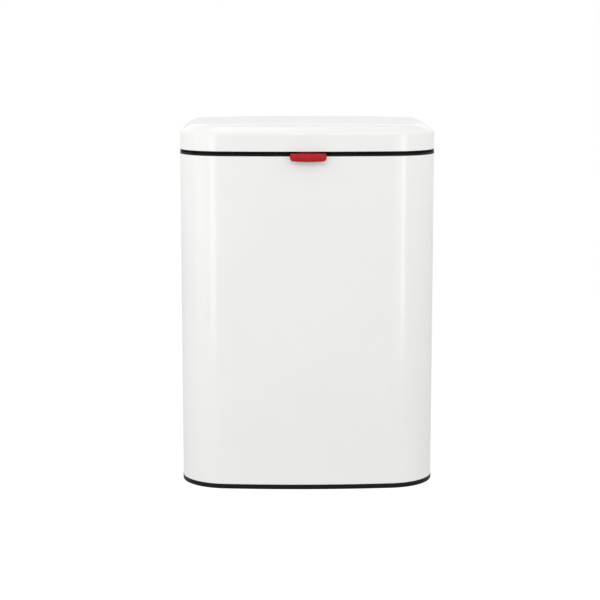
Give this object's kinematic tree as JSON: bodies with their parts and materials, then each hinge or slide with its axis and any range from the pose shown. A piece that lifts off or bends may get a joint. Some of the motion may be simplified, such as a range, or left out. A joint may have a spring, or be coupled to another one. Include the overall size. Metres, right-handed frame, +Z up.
{
  "type": "hanging trash bin",
  "caption": "Wall-hung waste bin: D-shaped enamelled body, hinged domed lid with red latch tab, black collar and base, lift-out inner bucket and hook bracket.",
  "frame": {"origin": "midway between the bracket's two screw holes, in the plane of the wall", "axes": "+X to the right as seen from the front, +Y into the wall, +Z up"},
  "size_m": [0.2554, 0.206, 0.3666],
  "materials": {
    "white_enamel": "gloss",
    "black_plastic": "satin",
    "red_plastic": "gloss",
    "grey_plastic": "fine matt",
    "zinc_steel": "zinc plated",
    "bright_steel": "bright",
    "spring_steel": "oiled",
    "black_rubber": "matt"
  },
  "bodies": {
    "wall_bracket": {"wall_bracket": "zinc_steel"},
    "bin": {"body_shell": "white_enamel", "base_tray": "black_plastic", "top_collar": "black_plastic", "hanger_plate_left": "zinc_steel", "hanger_plate_right": "zinc_steel", "plate_rivets": "bright_steel", "wall_buffer_left": "black_rubber", "wall_buffer_right": "black_rubber", "hinge_screws": "bright_steel", "base_screws": "bright_steel", "hinge_rod": "bright_steel", "rod_caps": "zinc_steel", "catch_wire": "spring_steel"},
    "lid": {"lid_shell": "white_enamel", "lid_frame": "black_plastic", "lid_seal": "black_rubber", "latch_pin": "bright_steel"},
    "latch": {"latch_lever": "red_plastic", "latch_spring": "spring_steel"},
    "bucket": {"bucket": "grey_plastic"}
  },
  "joints": [
    {"name": "bin_unhook", "type": "slide", "parent": "wall_bracket", "child": "bin", "axis": [0, 0, 1], "range_m": [0, 0.01]},
    {"name": "lid_hinge", "type": "hinge", "parent": "bin", "child": "lid", "pos_m": [0, -0.02, 0.03], "axis": [-1, 0, 0], "range_deg": [0, 90], "deforming": ["catch_wire"]},
    {"name": "latch_lift", "type": "hinge", "parent": "lid", "child": "latch", "pos_m": [0, -0.1905, 0.0255], "axis": [-1, 0, 0], "range_deg": [0, 8], "stiffness_Nm_per_rad": 0.12, "springref_deg": -8.59, "deforming": ["latch_spring"]},
    {"name": "bucket_lift", "type": "slide", "parent": "bin", "child": "bucket", "axis": [0, 0, 1], "range_m": [0, 0.024]}
  ]
}
